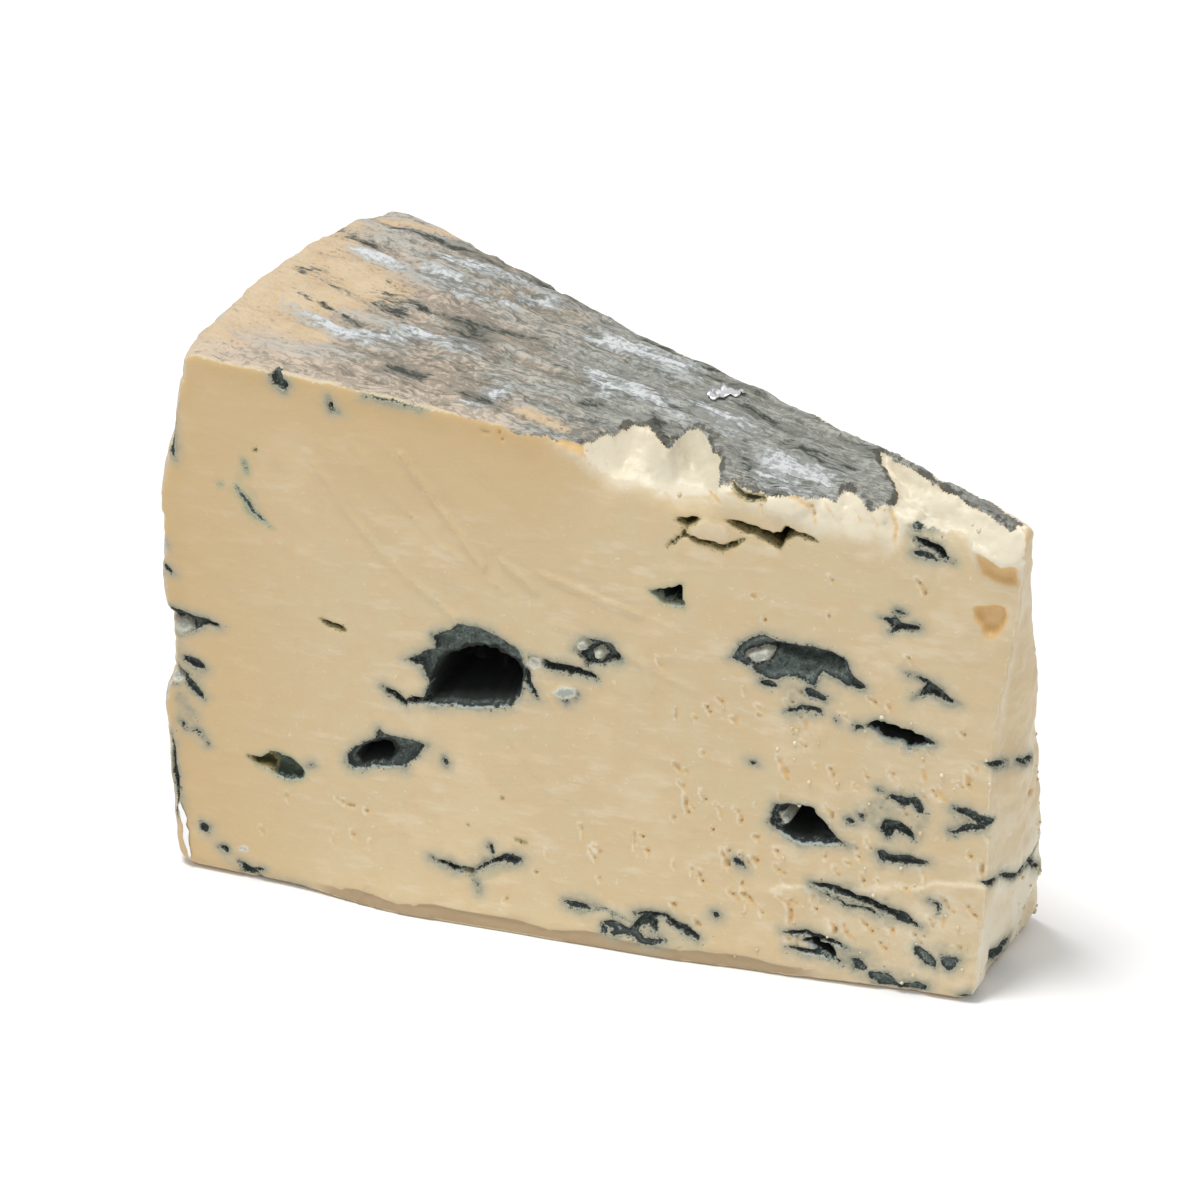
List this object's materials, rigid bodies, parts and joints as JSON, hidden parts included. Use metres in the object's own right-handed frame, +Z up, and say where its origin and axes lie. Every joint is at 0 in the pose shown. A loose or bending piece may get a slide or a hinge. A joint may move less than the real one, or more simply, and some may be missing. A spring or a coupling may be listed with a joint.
{
  "type": "blue cheese wedge",
  "caption": "Wedge of blue-veined cheese with a blunt tip, mould-lined hollows in its cut faces and a rind along its top and rim.",
  "frame": {"origin": "on the flat base that the wedge stands on, between its two cut faces and about halfway along it", "axes": "+X along the front cut face from the rim to the blunt tip, +Y from the front cut face to the back one, +Z up from the base to the rind"},
  "size_m": [0.1563, 0.0898, 0.1037],
  "materials": {
    "cheese_paste": "soft, moist and slightly translucent cream paste, with blue-green mould in its hollows and a dry grey and orange rind on its top and rim"
  },
  "bodies": {
    "root": {"wedge": "cheese_paste"}
  },
  "joints": []
}
